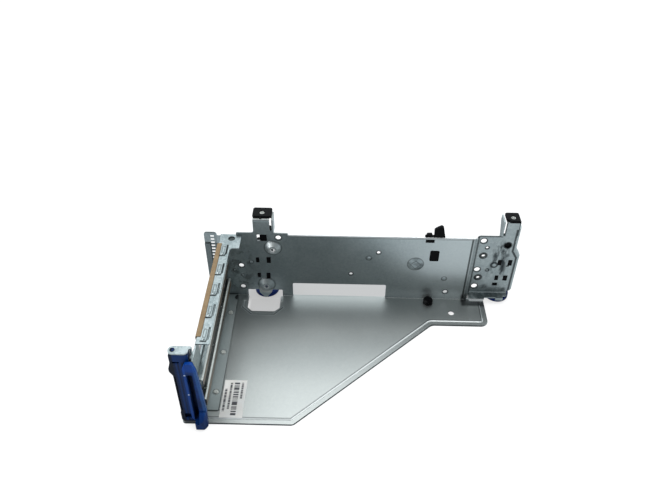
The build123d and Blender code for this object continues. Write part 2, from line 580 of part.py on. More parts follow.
for sx, sz, sw, sh in SMALL_SLOTS:
    bracket = bracket - block(sx - sw / 2, sx + sw / 2, END_Y - 1, back + 0.01, sz - sh / 2, sz + sh / 2)
TUBES = ((END_LEFT + 6.1, 46.3), (END_LEFT + 5.4, 22.6))
TUBE_R = 2.2
TUBE_HOLE_R = 1.5
TUBE_RIM_FRONT = 2.6
TUBE_RIM_BACK = 2.9
TUBE_RIM_H = 0.35
for hx, hz in TUBES:
    bracket = bracket - rod_y(hx, hz, TUBE_R, -2, back + 1)
bracket = bracket - rod_z(LOCK_RIGHT_X, LOCK_Y, SHAFT_HOLE_R, FOOT_TOP - 3, FOOT_TOP + 1)

# Hollow rivets of the end bracket
tubes = []
for hx, hz in TUBES:
    tube = rod_y(hx, hz, TUBE_R, END_Y, back)
    tube = tube + cone_y(hx, hz, TUBE_RIM_FRONT, TUBE_RIM_BACK, END_Y - TUBE_RIM_H, END_Y)
    tubes.append(tube - rod_y(hx, hz, TUBE_HOLE_R, -2, back + 2))


# Half turn locks
def knob_at(x):
    disc = rod_z(x, LOCK_Y, KNOB_R, KNOB_BOTTOM, KNOB_TOP)
    disc = chamfer(pick(disc, lambda a, b, z, e: near(z, KNOB_TOP)), 0.45)
    return disc - rod_z(x, LOCK_Y, SHAFT_R, SHAFT_BOTTOM, KNOB_TOP + 1)


def shaft_at(x):
    shaft = rod_z(x, LOCK_Y, SHAFT_R, SHAFT_BOTTOM, SHAFT_TOP)
    return chamfer(pick(shaft, lambda a, b, z, e: near(z, SHAFT_TOP)), 0.4)


def guide_at(x, sheet_back, sheet_front, top, hooks, half):
    body = block(x - half, x + half, sheet_back, LOCK_Y + GUIDE_DEEP, GUIDE_BOTTOM, top)
    body = chamfer(pick(body, lambda a, b, z, e: near(b, LOCK_Y + GUIDE_DEEP) and e.length > 20), 1.6)
    for sx, sz, sw, sh in hooks:
        x0 = max(sx - sw / 2 + PLAY, x - half)
        x1 = min(sx + sw / 2 - PLAY, x + half)
        body = body + block(x0, x1, sheet_front - 0.4, sheet_back, sz - sh / 2 + PLAY, sz + sh / 2 - PLAY)
    return body - rod_z(x, LOCK_Y, SHAFT_R + RUN, 10, 90)


def cap_at(x, left, right, cut, nub):
    body = flat([(x - left, CAP_FRONT + cut), (x - left + cut, CAP_FRONT), (x + right, CAP_FRONT),
                 (x + right, CAP_BACK, 1.6), (x - left, CAP_BACK, 1.6)], FOOT_TOP, CAP_TOP)
    body = chamfer(pick(body, lambda a, b, z, e: near(z, CAP_TOP) and b < 10), 0.4)
    if nub:
        body = body + block(x - 1.8, x - 0.2, CAP_FRONT - 1.0, CAP_FRONT + 0.1, FOOT_TOP, CAP_TOP - 0.6)
    return body - rod_z(x, LOCK_Y, SHAFT_R + RUN, FOOT_TOP - 1, CAP_TOP + 1)


hook_left = LEG_SLOT[0] + LEG_SLOT_OPEN
leg_hook = ((hook_left + LEG_SLOT[1]) / 2, (LEG_SLOT[2] + LEG_SLOT[3]) / 2, LEG_SLOT[1] - hook_left,
            LEG_SLOT[3] - LEG_SLOT[2])
left_knob = knob_at(LOCK_LEFT_X)
right_knob = knob_at(LOCK_RIGHT_X)
left_shaft = shaft_at(LOCK_LEFT_X)
right_shaft = shaft_at(LOCK_RIGHT_X)
left_guide = guide_at(LOCK_LEFT_X, T, 0, GUIDE_TOPS[0], LEFT_HOOKS + (leg_hook,), GUIDE_HALVES[0])
notch_left = LOCK_LEFT_X - GUIDE_HALVES[0] - 1
notch_back = LOCK_Y + GUIDE_DEEP + 1
notch = block(notch_left, hook_left - 0.7, 0, notch_back, LEG_SLOT[2] - 6, GUIDE_TOPS[0] + 1)
left_guide = left_guide - notch
right_guide = guide_at(LOCK_RIGHT_X, back, END_Y, GUIDE_TOPS[1], RIGHT_HOOKS, GUIDE_HALVES[1])
inner = END_FOLD_UP - 0.4
slant = END_FOLD_R - 0.1
wedge = [(inner, back - 0.1), (inner + slant, back - 0.1), (inner + slant, back + slant)]
right_guide = right_guide - flat(wedge, JOG_LOW - 1.5, GUIDE_TOPS[1] + 1)
left_cap = cap_at(LOCK_LEFT_X, 7.4, 7.6, 1.2, True)
right_cap = cap_at(LOCK_RIGHT_X, 5.6, 5.2, 3.4, False)

# Slot latch: lug folded from a strap on the outside of the panel
lug_z = LATCH_LUG_TOP - T
lug = flat([(DOOR_LEFT - 0.4, LUG_FRONT, 3.0), (LUG_RIGHT, LUG_FRONT, 2.6), (LUG_RIGHT, LUG_NECK, 0.6),
            (PANEL_OUT - T, LUG_NECK), (PANEL_OUT - T, LUG_REAR), (DOOR_LEFT - 0.4, LUG_REAR, 3.0)],
           lug_z, LATCH_LUG_TOP)
step_y = LUG_REAR - 0.2
strap = sideways([
    (STRAP_FRONT, 66.0, 1.0), (STRAP_FRONT, 40.0), (STRAP_BACK, 40.0, 2.0), (STRAP_BACK, 60.0, 2.0),
    (step_y, 63.0, 1.0), (step_y, LATCH_LUG_TOP), (LUG_NECK, LATCH_LUG_TOP), (LUG_NECK, 66.0),
], PANEL_OUT - T, PANEL_OUT)
latch_bracket = lug + strap
fold = pick(latch_bracket, lambda x, y, z, e: near(x, PANEL_OUT) and near(z, LATCH_LUG_TOP))
latch_bracket = fillet(fold, 0.9)
latch_bracket = latch_bracket - rod_z(PIN[0], PIN[1], PIN_R + RUN, lug_z - 1, LATCH_LUG_TOP + 1)

# Slot latch: moulded door with its pivot pin, a groove, a rail over the panel front and a finger tab
door_low = -RIM_STEP + LATCH_GAP
door_top = lug_z - LATCH_GAP
door = upright([
    (DOOR_LEFT, door_low + 1.2, 0.6), (DOOR_LEFT, 9.0), (DOOR_LEFT + 0.5, 11.0), (DOOR_LEFT + 0.5, 49.0),
    (DOOR_LEFT - DOOR_BULGE, 53.0, 0.8), (DOOR_LEFT - DOOR_BULGE, 56.0, 0.8), (DOOR_LEFT, 62.0),
    (DOOR_LEFT, door_top, 0.6), (DOOR_RIGHT, door_top), (DOOR_RIGHT, door_low), (DOOR_LEFT + 1.0, door_low),
], DOOR_FRONT, DOOR_BACK)
rail = upright([
    (RIB_LEFT, 8.0), (RIB_LEFT, 60.0, 1.0), (-6.2, 64.6, 1.0), (-1.6, 64.6, 1.6), (0.2, 57.0), (1.0, 46.0),
    (1.7, 33.0), (2.3, 19.0), (2.4, 15.4, 1.0), (TAB_RIGHT, 5.0, 2.0), (1.0, door_low, 1.0),
    (-4.8, door_low, 1.0),
], RAIL_FRONT, RAIL_BACK)
join = block(RIB_LEFT, DOOR_RIGHT, RAIL_BACK - 0.01, DOOR_FRONT + 1.5, 8.0, 60.0)
finger = sideways([
    (RAIL_BACK, 15.0, 1.0), (RAIL_FRONT - 1.0, 15.0, 1.5), (TAB_FRONT, 8.0, 2.4), (TAB_FRONT, 0.2, 1.2),
    (TAB_FRONT + 2.2, -0.8, 1.0), (PLATE_FRONT - 0.9, -0.8), (PLATE_FRONT - 0.5, door_low),
    (RAIL_BACK, door_low),
], TAB_LEFT, TAB_RIGHT)
finger = finger & flat([(TAB_LEFT, RAIL_BACK + 2), (TAB_LEFT, TAB_FRONT, 1.6), (-0.2, TAB_FRONT, 2.0),
                        (TAB_RIGHT, RAIL_FRONT - 0.4, 1.2), (TAB_RIGHT, RAIL_BACK + 2)], -3, 20)
door = door + rail + join + finger
x0, x1, z0, z1, deep = GROOVE
door = door - upright([(x0, z0), (x1, z0), (x1, z1, 1.0), (x0, z1, 1.0)], RAIL_FRONT - 5, DOOR_FRONT + deep)
for x0, x1, z0, z1, deep in POCKETS:
    door = door - block(x0, x1, DOOR_FRONT - 0.6, DOOR_FRONT + deep, z0, z1)
pin = rod_z(PIN[0], PIN[1], PIN_R, -T - RIM_STEP + 0.1, LATCH_LUG_TOP + 0.3)
door = door + pin

# Cable clip behind the wall, seen through its slot and window and above the wall
clip_back = T + CLIP_T
clip = block(CLIP_LEFT, CLIP_RIGHT, T, clip_back, CLIP_BOTTOM, WALL_TOP + 0.8)
x0, x1, z0, z1 = CLIP_SLOT
clip = clip + block(x0 + PLAY, x1 - PLAY, -0.4, T, z0 + PLAY, z1 - PLAY)
x0, x1, z0, z1 = CLIP_WINDOW
x0, x1, z0, z1 = x0 + PLAY, x1 - PLAY, z0 + PLAY, z1 - PLAY
clip = clip + upright([(x0, z0, 0.9), (x1, z0, 0.9), (x1, z1, 0.9), (x0, z1, 0.9)], -0.5, T)
c = CLIP_LEFT
clip = clip + upright([(c + 7.0, WALL_TOP), (c + 6.6, 73.2, 0.8), (c + 9.4, 75.4, 0.8), (c + 12.0, 76.8, 1.0),
                       (c + 13.6, 75.6, 0.8), (c + 15.8, WALL_TOP)], T, clip_back)
clip = clip + upright([(c + 0.6, WALL_TOP), (c + 1.2, 68.8, 0.6), (c + 5.0, 69.0, 0.6),
                       (c + 6.2, WALL_TOP)], T, clip_back)
peg = rod_z(PEG[0], PEG[1], PEG_R, 0, PEG_H)
peg = chamfer(pick(peg, lambda x, y, z, e: near(z, PEG_H)), 1.1)

# Label on the plate
label = block(LABEL[0], LABEL[1], LABEL[2], LABEL[3], 0, LABEL_T)

parts = {
    "cage_shell": shell,
    "slot_panel": panel,
    "panel_rivet_back": rivets[0],
    "panel_rivet_mid": rivets[1],
    "panel_rivet_front": rivets[2],
    "gasket_strip": gasket,
    "end_bracket": bracket,
    "bracket_rivet_upper": tubes[0],
    "bracket_rivet_lower": tubes[1],
    "left_lock_knob": left_knob,
    "left_lock_shaft": left_shaft,
    "left_lock_guide": left_guide,
    "left_lock_cap": left_cap,
    "right_lock_knob": right_knob,
    "right_lock_shaft": right_shaft,
    "right_lock_guide": right_guide,
    "right_lock_cap": right_cap,
    "latch_bracket": latch_bracket,
    "latch_door": door,
    "cable_clip": clip,
    "corner_peg": peg,
    "plate_label": label,
}
for name, shape in parts.items():
    moved = Pos(*SHIFT) * shape
    solids = moved.solids()
    if len(solids) != 1:
        print("solids", name, len(solids), [round(s.volume, 3) for s in solids])
    box = moved.bounding_box()
    low = [round(v, 2) for v in (box.min.X, box.min.Y, box.min.Z)]
    high = [round(v, 2) for v in (box.max.X, box.max.Y, box.max.Z)]
    print(name, low, high)
    export_step(moved, os.path.join("parts", name + ".step"))
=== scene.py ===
# Looks of the riser cage bracket: zinc plated sheet, blue and black mouldings, cloth gasket and paper label.
# Lengths are metres in the part's own frame, and MM turns millimetres into them.
from math import cos, pi, radians, sin

import bpy
import numpy as np
from mathutils import Matrix, Vector


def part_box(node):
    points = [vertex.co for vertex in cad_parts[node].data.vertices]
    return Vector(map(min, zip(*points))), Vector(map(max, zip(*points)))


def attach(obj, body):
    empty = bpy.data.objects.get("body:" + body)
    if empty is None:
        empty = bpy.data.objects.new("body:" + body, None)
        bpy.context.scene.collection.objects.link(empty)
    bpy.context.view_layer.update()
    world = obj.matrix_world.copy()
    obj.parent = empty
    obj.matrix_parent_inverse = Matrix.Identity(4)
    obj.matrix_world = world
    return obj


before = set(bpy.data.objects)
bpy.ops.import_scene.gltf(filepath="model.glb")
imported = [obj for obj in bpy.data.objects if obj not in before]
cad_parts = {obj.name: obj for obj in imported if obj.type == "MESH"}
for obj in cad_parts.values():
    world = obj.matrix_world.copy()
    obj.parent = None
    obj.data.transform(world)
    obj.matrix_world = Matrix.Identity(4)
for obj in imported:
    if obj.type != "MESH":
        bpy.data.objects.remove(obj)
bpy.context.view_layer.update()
MM = 0.001

# Places are millimetres from the wall's corner over the plate:
# x runs along the wall, y is 0 at the wall's front face and falls towards the viewer, z is 0 on the plate.
CORNER = (-109.8, 58.75, 1.5)


def span(node):
    """Lowest and highest corner of a CAD node, in millimetres from the wall's corner."""
    return [[v / MM - c for v, c in zip(corner, CORNER)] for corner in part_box(node)]


def middle(node):
    """Middle of a CAD node seen from above, in millimetres from the wall's corner."""
    low, high = span(node)
    return (low[0] + high[0]) / 2, (low[1] + high[1]) / 2


# Sizes read from the frame
LENGTH = span("cage_shell")[1][0]
FRONT = span("cage_shell")[0][1]
END_FRONT = span("end_bracket")[0][1]
PANEL_TOP = span("slot_panel")[1][2]
LABEL_LOW, LABEL_HIGH = span("plate_label")
SHAFTS = (middle("left_lock_shaft"), middle("right_lock_shaft"))
PANEL_RIVETS = [(*middle(f"panel_rivet_{place}"), 1.9) for place in ("back", "mid", "front")]

# Round features of the wall and of the end bracket's face, as (x, z, radius)
WALL_HOLES = ((11.6, 33.2, 2.1), (11.3, 9.7, 2.1), (42.9, 63.2, 2.2), (122.8, 49.9, 1.5),
              (101.3, 26.4, 1.4), (181.0, 8.1, 1.9))
WALL_DIMPLES = ((115.2, 44.0, 2.3), (178.3, 23.1, 2.2), (20.0, 37.1, 1.8), (5.4, 28.1, 1.2),
                (12.0, 22.5, 1.3))
BOSSES = ((38.2, 52.8, 7.0), (31.3, 13.0, 7.2))
BOSS_TIP = -3.3
BOSS_HOLE_R = 2.1
EMBOSS = (153.3, 38.6, 6.6)
END_DIMPLES = ((213.1, 30.9, 1.1), (217.9, 36.5, 2.5))
END_RINGS = ((205.6, 61.6, 2.4), (204.8, 31.2, 2.4), (205.2, 12.6, 2.5), (209.4, 54.7, 1.2),
             (225.3, 57.6, 2.8), (207.5, 46.3, 2.7), (206.8, 22.6, 2.7), *END_DIMPLES)
END_SMUDGES = ((213.5, 12.4, 3.6), (229.6, 9.4, 3.0), (226.6, 47.0, 3.0))

# Outlines on the plate, as corners (x, y)
RIM = ((-16.8, FRONT), (61.0, FRONT), (LENGTH - 46.5, -30.2), (LENGTH, -30.2), (LENGTH, 0.0))
DISH = ((11.9, -14.6), (19.8, -22.4), (38.6, -22.4), (45.0, -14.6))

# Sheets: their thickness, the slack round them, their heights and their edges
SHEET = 1.0
SLACK = 0.2
WALL_TOP = 66.0
CREST_LEFT = 50.2
LADDER_RIGHT = -5.4
BRACKET_LAP = LENGTH - 17.3
END_FACE_Y = 3.2
END_SHELF_Z = 5.7
END_TOP = 66.4
END_LEFT = 200.2
END_BEND = 227.0
LEG_LEFT, LEG_RIGHT = 220.0, 232.0
SHELVES_Z = (24.0, 44.3)
SHELF_RIGHT = 2.6
BASE_RIGHT = 7.0

# Spring fingers of the panel's top flange. ALONG is measured in y from a finger's tip, WRAP before it.
FINGER_TIP = -24.6
FINGER_PITCH = 21.55
FINGER_COUNT = 5
WRAP = 2.0
FLANGE_Y = (-113.0, -11.0)
SIDE_CUT_X, SIDE_CUT_ALONG = (4.3, 5.9), (1.8, 12.7)
TIP_CUT_X, TIP_CUT_ALONG = (0.2, 4.7), (-0.8, 0.8)
RIDGE_X, RIDGE_ALONG = (1.7, 3.2), (4.0, 10.6)
OUTLINE_X, OUTLINE_ALONG = (1.2, 3.7), (3.4, 11.2)
CONTACT_X = 2.5
CONTACT_BACK = 2.3
TAB_HOLE = (6.9, -4.3, 2.1)

# Latch, with its painted glints as (x, z, radius)
RAIL_BACK = FRONT + 0.6
DOOR_FACE = FRONT + 2.0
LATCH_GLINTS = ((-7.6, 53.6, 0.4), (-7.3, 33.5, 0.4), (-3.5, 17.8, 0.5))

# Camera, solved from the photograph
IMAGE_WIDTH = 667
FOCAL_PIXELS = 653.533
SENSOR = 36.0
EYE = np.array((-20.962, -338.481, 391.964)) * MM
PITCH = radians(40.4547)
YAW = radians(-0.3239)
ROLL = radians(0.9845)


def add_camera():
    """Camera at the photograph's place, built from its forward, right and up directions."""
    forward = Vector((sin(YAW) * cos(PITCH), cos(YAW) * cos(PITCH), -sin(PITCH)))
    shade_level = Vector((cos(YAW), -sin(YAW), 0.0))
    over = shade_level.cross(forward)
    right = cos(ROLL) * shade_level + sin(ROLL) * over
    up = cos(ROLL) * over - sin(ROLL) * shade_level
    data = bpy.data.cameras.new("camera")
    data.sensor_width = SENSOR
    data.sensor_fit = "HORIZONTAL"
    data.lens = FOCAL_PIXELS / IMAGE_WIDTH * SENSOR
    data.clip_start = 0.01
    data.clip_end = 20.0
    camera = bpy.data.objects.new("camera", data)
    turn = Matrix((right, up, -forward)).transposed().to_4x4()
    camera.matrix_world = Matrix.Translation(Vector(EYE)) @ turn
    bpy.context.collection.objects.link(camera)
    bpy.context.scene.camera = camera


# Shader maths as Python expressions
class Wire:
    """A socket of a node tree, on which arithmetic adds Math nodes."""

    def __init__(self, nodes, socket):
        self.nodes = nodes
        self.socket = socket

    def math(self, operation, *others):
        """A Math node on this wire and the others."""
        values = dict(enumerate((self, *others)))
        return self.nodes.node("ShaderNodeMath", {"operation": operation}, values)

    def __add__(self, other):
        return self.math("ADD", other)

    __radd__ = __add__

    def __sub__(self, other):
        return self.math("SUBTRACT", other)

    def __rsub__(self, other):
        return (self * -1.0) + other

    def __mul__(self, other):
        return self.math("MULTIPLY", other)

    __rmul__ = __mul__

    def __pow__(self, other):
        return self.math("POWER", other)

    def __abs__(self):
        return self.math("ABSOLUTE")

    def most(self, other):
        """The larger of the two."""
        return self.math("MAXIMUM", other)

    def least(self, other):
        """The smaller of the two."""
        return self.math("MINIMUM", other)

    def wave(self):
        """The sine."""
        return self.math("SINE")

    def part(self):
        """The part after the point, from 0 up to 1."""
        return self.math("FRACT")

    def ramp(self, low, high):
        """Smooth step from 0 at low to 1 at high."""
        settings = {"interpolation_type": "SMOOTHSTEP"}
        values = {"Value": self, "From Min": low, "From Max": high}
        return self.nodes.node("ShaderNodeMapRange", settings, values)

    def inside(self, low, high, soft):
        """1 between low and high, fading to 0 over a width of soft."""
        return self.ramp(low - soft, low + soft) * (1.0 - self.ramp(high - soft, high + soft))

    def before(self, low, high):
        """1 up to low, falling smoothly to 0 at high."""
        return 1.0 - self.ramp(low, high)


class Nodes:
    """A node tree, with one method that adds any node to it."""

    def __init__(self, tree):
        self.tree = tree

    def node(self, kind, settings, values, output=0):
        """Adds a node, sets it up, feeds its sockets and gives one of its outputs, by number or name."""
        made = self.tree.nodes.new(kind)
        for key, value in settings.items():
            setattr(made, key, value)
        for key, value in values.items():
            self.feed(made.inputs[key], value)
        if output is None:
            return made
        return Wire(self, made.outputs[output])

    def feed(self, slot, value):
        """Links a wire to a socket, or sets the socket to a plain value."""
        if isinstance(value, Wire):
            self.tree.links.new(value.socket, slot)
        else:
            slot.default_value = value

    def split(self, vector):
        """The x, y and z wires of a vector."""
        made = self.node("ShaderNodeSeparateXYZ", {}, {"Vector": vector}, None)
        return [Wire(self, socket) for socket in made.outputs]


class Finish(Nodes):
    """A node material with its Principled shader, the place in millimetres and the way a face looks."""

    def __init__(self, name, fixed=None):
        self.material = bpy.data.materials.new(name)
        self.material.use_nodes = True
        super().__init__(self.material.node_tree)
        self.shader = self.tree.nodes["Principled BSDF"]
        for key, value in (fixed or {}).items():
            self.shader.inputs[key].default_value = value
        self.spot = self.node("ShaderNodeTexCoord", {}, {}, "Object")
        self.x, self.y, self.z = [w * (1.0 / MM) - c for w, c in zip(self.split(self.spot), CORNER)]
        self.facing = self.split(self.node("ShaderNodeTexCoord", {}, {}, "Normal"))

    def stretched(self, sx, sy, sz):
        """Object coordinates scaled along each axis."""
        values = {0: self.spot, 1: (sx, sy, sz)}
        return self.node("ShaderNodeVectorMath", {"operation": "MULTIPLY"}, values)

    def noise(self, scale, detail=3.0, rough=0.55, at=None):
        """Clouds of 0 to 1, on the object's coordinates or at another vector."""
        values = {"Vector": at or self.spot, "Scale": scale, "Detail": detail, "Roughness": rough}
        return self.node("ShaderNodeTexNoise", {"normalize": True}, values, "Fac")

    def spangle(self, scale):
        """A level of 0 to 1 for each grain of the zinc."""
        values = {"Vector": self.spot, "Scale": scale}
        grains = self.node("ShaderNodeTexVoronoi", {"feature": "F1"}, values, "Color")
        return self.node("ShaderNodeRGBToBW", {}, {"Color": grains})

    def mix(self, share, low, high):
        """Colour between low and high."""
        made = self.node("ShaderNodeMix", {"data_type": "RGBA"}, {}, None)
        slots = [s for s in made.inputs if s.type == "RGBA"]
        self.feed(made.inputs[0], share)
        self.feed(slots[0], low)
        self.feed(slots[1], high)
        return Wire(self, [s for s in made.outputs if s.type == "RGBA"][0])

    def nook(self, reach):
        """1 in tight corners and 0 in the open, felt over a reach in millimetres."""
        values = {"Distance": reach * MM}
        return 1.0 - self.node("ShaderNodeAmbientOcclusion", {"samples": 6}, values, "AO")

    def away(self, a, b, centre):
        """Distance in millimetres from a centre (ca, cb) in the plane of the wires a and b."""
        da, db = a - centre[0], b - centre[1]
        return (da * da + db * db) ** 0.5

    def beside(self, a, b, start, stop):
        """Distance in millimetres from the straight line between two points in the plane of a and b."""
        along = np.subtract(stop, start)
        long = float(np.hypot(*along))
        ua, ub = (float(v) / long for v in along)
        da, db = a - start[0], b - start[1]
        reach = (da * ua + db * ub).most(0.0).least(long)
        return ((da - reach * ua) ** 2.0 + (db - reach * ub) ** 2.0) ** 0.5

    def nearest(self, a, b, corners):
        """Distance in millimetres from an open line of straight pieces through corners."""
        gaps = [self.beside(a, b, start, stop) for start, stop in zip(corners, corners[1:])]
        total = gaps[0]
        for gap in gaps[1:]:
            total = total.least(gap)
        return total

    def rings(self, a, b, circles, wide):
        """1 up to the border of each circle (ca, cb, r), fading outwards over a width."""
        bands = [self.away(a, b, (ca, cb)).before(r + 0.5 * wide, r + wide) for ca, cb, r in circles]
        total = bands[0]
        for band in bands[1:]:
            total = total.most(band)
        return total

    def show(self, colour, roughness, metallic, height, strength, reach):
        """Joins the worked out colour, roughness, metal share and relief to the shader."""
        self.feed(self.shader.inputs["Base Color"], colour)
        self.feed(self.shader.inputs["Roughness"], roughness)
        self.feed(self.shader.inputs["Metallic"], metallic)
        values = {"Height": height, "Strength": strength, "Distance": reach}
        relief = self.node("ShaderNodeBump", {}, values, "Normal")
        self.feed(self.shader.inputs["Normal"], relief)
        return self.material


def tone(red, green, blue):
    """Linear colour from display values of 0 to 255."""
    levels = np.array((red, green, blue)) / 255.0
    linear = np.where(levels <= 0.04045, levels / 12.92, ((levels + 0.055) / 1.055) ** 2.4)
    return (*[float(v) for v in linear], 1.0)


# Dark grey for smudges, and for painted shade in corners, creases and round holes, bends and edges.
GRIME_AND_SHADE = tone(58, 62, 63)
SMUDGE = tone(46, 52, 56)
SHADE = tone(128, 134, 136)
# Near white for the painted highlights round the bosses' eyes and in the upper boss's bore.
PAINTED_HIGHLIGHT = tone(252, 252, 252)
WHITE = (1.0, 1.0, 1.0, 1.0)


# Zinc plated sheet
def zinc_sheet(f, light, dark, gloss):
    """Fine spangle, soft clouds, rolling lines and scuffs, with painted shade in tight corners."""
    spangle = f.spangle(620.0)
    clouds = f.noise(26.0, 3.0, 0.5)
    fine = f.noise(420.0, 2.0, 0.5)
    rolled = f.noise(60.0, 3.0, 0.6, f.stretched(0.2, 6.0, 6.0))
    share = (spangle * 0.20 + clouds * 0.6 + fine * 0.2).ramp(0.2, 0.85)
    colour = f.mix(share, dark, light)
    scuff = f.noise(60.0, 5.0, 0.7, f.stretched(1.0, 3.0, 1.0)).ramp(0.66, 0.82)
    colour = f.mix(scuff * 0.35, colour, dark)
    # Painted shade in tight corners.
    colour = f.mix(f.nook(2.5).ramp(0.1, 0.9) * 0.6, colour, GRIME_AND_SHADE)
    rough = gloss + spangle * 0.03 + clouds * 0.08 + rolled * 0.04 + scuff * 0.06
    height = spangle * 0.05 + fine * 0.3 + rolled * 0.3
    return colour, rough, height


def upright(f, front):
    """1 on an upright sheet whose front face is at y = front."""
    return f.y.inside(front - SLACK, front + SHEET + SLACK, 0.1)


def over_plate(f):
    """1 on the wall, the bosses and the leg, and 0 on the plate."""
    return f.z.ramp(0.5, 1.5)


def plate_painted_shade(f, colour, flat):
    """A duller plate, with painted shade towards the panel and towards the wall."""
    colour = f.mix(flat * 0.6, colour, tone(204, 203, 198))
    # Painted shade towards the panel and towards the wall.
    colour = f.mix(flat * f.x.before(12.0, 60.0) * 0.15, colour, tone(112, 118, 118))
    return f.mix(flat * f.y.ramp(-105.0, -60.0) * 0.3, colour, SHADE)


def wall_painted_light(f, colour, wall):
    """Painted light on the wall: a painted highlight to the right, painted shade in the middle, and painted
    shade round its holes and dimples.
    """
    # Painted highlight to the right, painted shade in the middle, painted shade round the holes and dimples.
    colour = f.mix(wall * f.x.ramp(110.0, 190.0) * 0.6, colour, tone(244, 250, 250))
    colour = f.mix(wall * f.x.inside(55.0, 105.0, 25.0) * 0.25, colour, SHADE)
    colour = f.mix(f.rings(f.x, f.z, WALL_HOLES, 1.1) * wall * 0.75, colour, GRIME_AND_SHADE)
    return f.mix(f.rings(f.x, f.z, WALL_DIMPLES, 0.5) * wall * 0.6, colour, GRIME_AND_SHADE)


def boss_painted_light(f, colour, bore_highlight):
    """Painted shade round the bosses' feet, painted highlights on their cones, stronger on the upper boss,
    and round their eyes, and a painted bright bore in the upper boss.
    """
    # Painted shade round the feet, then painted highlights on the cones and round the eyes.
    feet = [(x, z, r - 0.4) for x, z, r in BOSSES]
    colour = f.mix(f.rings(f.x, f.z, feet, 1.1) * f.y.inside(-0.7, 1.2, 0.2) * 0.5, colour, GRIME_AND_SHADE)
    cones = [(x, z, r - 1.4) for x, z, r in BOSSES]
    cone_highlight = f.rings(f.x, f.z, cones, 1.0) * f.y.before(-1.2, -0.6) * (0.1 + f.z.ramp(30.0, 40.0) * 0.4)
    colour = f.mix(cone_highlight * over_plate(f), colour, tone(236, 240, 240))
    eyes = [(x, z, BOSS_HOLE_R) for x, z, r in BOSSES]
    eye_highlight = f.rings(f.x, f.z, eyes, 0.6) * f.y.before(BOSS_TIP + 0.1, BOSS_TIP + 0.3)
    colour = f.mix(eye_highlight * over_plate(f) * 0.8, colour, PAINTED_HIGHLIGHT)
    # Painted bright bore.
    return f.mix(bore_highlight * 0.9, colour, PAINTED_HIGHLIGHT)


def wall_marks_and_painted_light(f, colour, wall):
    """Smudges by the panel, painted shade at the bracket's lap, the ladder strip darker, a painted shadow
    under the ledge, and a painted highlight on the crest with painted shade below it.
    """
    smudge = f.x.inside(2.0, 20.0, 3.0) * f.z.inside(8.0, 52.0, 6.0)
    smudge = smudge * f.noise(150.0, 4.0, 0.65).ramp(0.5, 0.62)
    colour = f.mix(smudge * wall * 0.45, colour, GRIME_AND_SHADE)
    # Painted shade at the bracket's lap.
    lap_shade = f.x.inside(BRACKET_LAP - 1.4, BRACKET_LAP, 0.2)
    lap_shade = lap_shade + f.x.ramp(BRACKET_LAP, BRACKET_LAP + 0.2) * 0.3
    front = over_plate(f) * f.y.inside(-0.4, 0.2, 0.1)
    colour = f.mix(lap_shade.least(1.0) * front * 0.85, colour, GRIME_AND_SHADE)
    slots = f.z.inside(WALL_TOP - 9.2, WALL_TOP + 0.6, 0.2)
    ladder = f.x.before(LADDER_RIGHT - 0.6, LADDER_RIGHT) * (0.75 - slots * 0.5)
    colour = f.mix(ladder * over_plate(f), colour, tone(82, 90, 92))
    # Painted shadow under the ledge.
    below = f.x.inside(LENGTH - 19.3, LENGTH - 0.3, 1.0) * f.y.inside(-8.0, 1.0, 1.5)
    colour = f.mix(below * f.z.before(3.0, 8.0) * 0.75, colour, tone(30, 34, 36))
    # Painted highlight along the crest, with painted shade just below it.
    right = f.x.ramp(CREST_LEFT - 0.2, CREST_LEFT + 0.2)
    crest_highlight = f.z.ramp(WALL_TOP - 0.3, WALL_TOP - 0.05) * f.facing[2].ramp(0.6, 0.9) * right
    crest_highlight = crest_highlight.most(f.z.inside(WALL_TOP - 1.0, WALL_TOP + 0.5, 0.15) * right * 0.7)
    colour = f.mix(crest_highlight * 0.9, colour, WHITE)
    return f.mix(f.z.inside(WALL_TOP - 1.8, WALL_TOP - 1.1, 0.15) * wall * right * 0.4, colour, GRIME_AND_SHADE)


def emboss_painted_light(f, colour, wall):
    """The round emboss: painted shade in lines along its border and lozenge, painted highlights inside them
    and a worn middle.
    """
    far = f.away(f.x, f.z, EMBOSS)
    lozenge = abs(f.x - EMBOSS[0]) + abs(f.z - EMBOSS[1])
    # Painted shade along the emboss's border and lozenge.
    lines = far.inside(6.1, 6.9, 0.25) + lozenge.inside(3.7, 4.6, 0.2)
    worn = f.noise(210.0, 2.0).ramp(0.5, 0.62) * far.before(5.5, 6.5)
    colour = f.mix((lines + worn * 0.6).least(1.0) * 0.6, colour, GRIME_AND_SHADE)
    # Painted highlights inside the lines.
    glint = lozenge.inside(2.4, 3.4, 0.2) + far.inside(5.2, 5.9, 0.2)
    return f.mix(glint * wall * (1.0 - worn) * 0.45, colour, tone(236, 240, 238))


